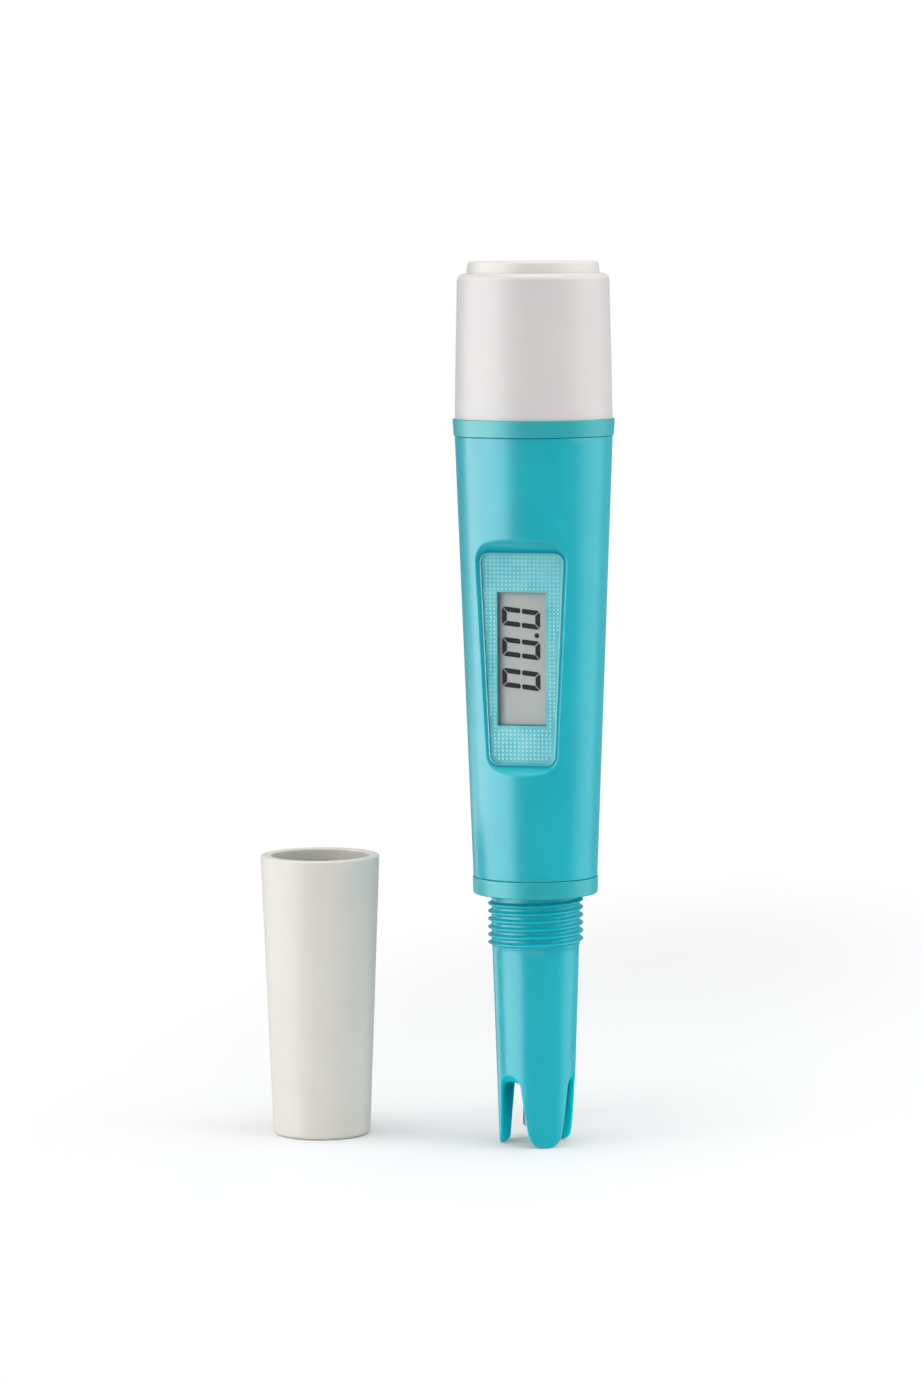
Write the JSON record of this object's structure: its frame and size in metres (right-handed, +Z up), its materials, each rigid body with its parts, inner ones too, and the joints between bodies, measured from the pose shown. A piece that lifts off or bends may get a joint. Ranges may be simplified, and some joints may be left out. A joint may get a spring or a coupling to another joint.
{
  "type": "salinity tester pen",
  "caption": "Slim handheld salinity tester standing on its probe legs, with a display window, a screw-on battery cap, a top button and a loose probe cap beside it.",
  "frame": {"origin": "on the floor, under the middle of the box round the pen and its probe cap", "axes": "+Z up along the pen; the display window faces -Y; the probe cap stands on the -X side"},
  "size_m": [0.0768, 0.0338, 0.185],
  "materials": {
    "case_plastic": "satin turquoise moulding",
    "clear_lens": "clear moulded plastic with a dotted border",
    "gasket_film": "thin adhesive film",
    "display_glass": "grey liquid crystal display",
    "inner_plastic": "matt white moulding",
    "strip_rubber": "layered contact rubber",
    "circuit_board": "green lacquered board",
    "black_plastic": "matt black moulding",
    "plated_steel": "nickel plated steel",
    "cell_steel": "plated cell can",
    "contact_metal": "gold plated spring brass",
    "wire_insulation": "soft coloured insulation",
    "blue_plastic": "blue moulded housing",
    "teal_silicone": "matt translucent silicone",
    "white_plastic": "satin white moulding",
    "black_rubber": "smooth seal rubber",
    "holder_plastic": "matt cast plastic",
    "electrode_metal": "dark satin metal"
  },
  "bodies": {
    "pen": {"body_shell": "case_plastic", "window_lens": "clear_lens", "lens_gasket": "gasket_film", "lcd_panel": "display_glass", "lcd_bezel": "inner_plastic", "contact_strips": "strip_rubber", "main_board": "circuit_board", "processor_chip": "black_plastic", "board_parts": "plated_steel", "lead_wires": "wire_insulation", "battery_tray": "inner_plastic", "tray_screws": "plated_steel", "button_cells": "cell_steel", "contact_leaf": "contact_metal", "contact_plate": "contact_metal", "switch_board": "circuit_board", "switch_housing": "black_plastic", "trimmer_body": "blue_plastic", "foot_seal_ring": "teal_silicone", "probe_sleeve": "case_plastic", "sleeve_o_ring": "black_rubber", "electrode_holder": "holder_plastic", "electrodes": "electrode_metal", "temperature_sensor": "electrode_metal"},
    "head_ring": {"head_seal_ring": "teal_silicone"},
    "battery_cap": {"battery_cap": "white_plastic", "button_seal": "black_rubber", "button_spring": "plated_steel"},
    "top_button": {"top_button": "white_plastic", "button_clip": "plated_steel"},
    "switch_plunger": {"switch_plunger": "plated_steel"},
    "trimmer_screw": {"trimmer_screw": "contact_metal"},
    "probe_cap": {"probe_cap": "white_plastic"}
  },
  "joints": [
    {"name": "battery_cap_turn", "type": "hinge", "parent": "pen", "child": "head_ring", "pos_m": [0.02154, 0, 0.15065], "axis": [0, 0, 1], "range_deg": [0, 900]},
    {"name": "battery_cap_lift", "type": "slide", "parent": "head_ring", "child": "battery_cap", "axis": [0, 0, 1], "range_m": [0, 0.005]},
    {"name": "button_press", "type": "slide", "parent": "battery_cap", "child": "top_button", "axis": [0, 0, -1], "range_m": [0, 0.001], "stiffness_N_per_m": 500, "springref_m": -0.001, "deforming": ["button_spring"]},
    {"name": "switch_press", "type": "slide", "parent": "pen", "child": "switch_plunger", "axis": [0, 0, -1], "range_m": [0, 0.0004], "stiffness_N_per_m": 300, "springref_m": -0.0004},
    {"name": "trimmer_turn", "type": "hinge", "parent": "pen", "child": "trimmer_screw", "pos_m": [0.02154, -0.009, 0.1623], "axis": [0, -1, 0], "range_deg": [-135, 135]},
    {"name": "probe_cap_lift", "type": "slide", "parent": "pen", "child": "probe_cap", "axis": [0, 0, 1], "range_m": [0, 0.07]}
  ],
  "couplings": [
    {"joint": "battery_cap_lift", "follows": "battery_cap_turn", "m_per_rad": 0.00031831},
    {"joint": "switch_press", "follows": "button_press", "ratio": 0.4}
  ]
}
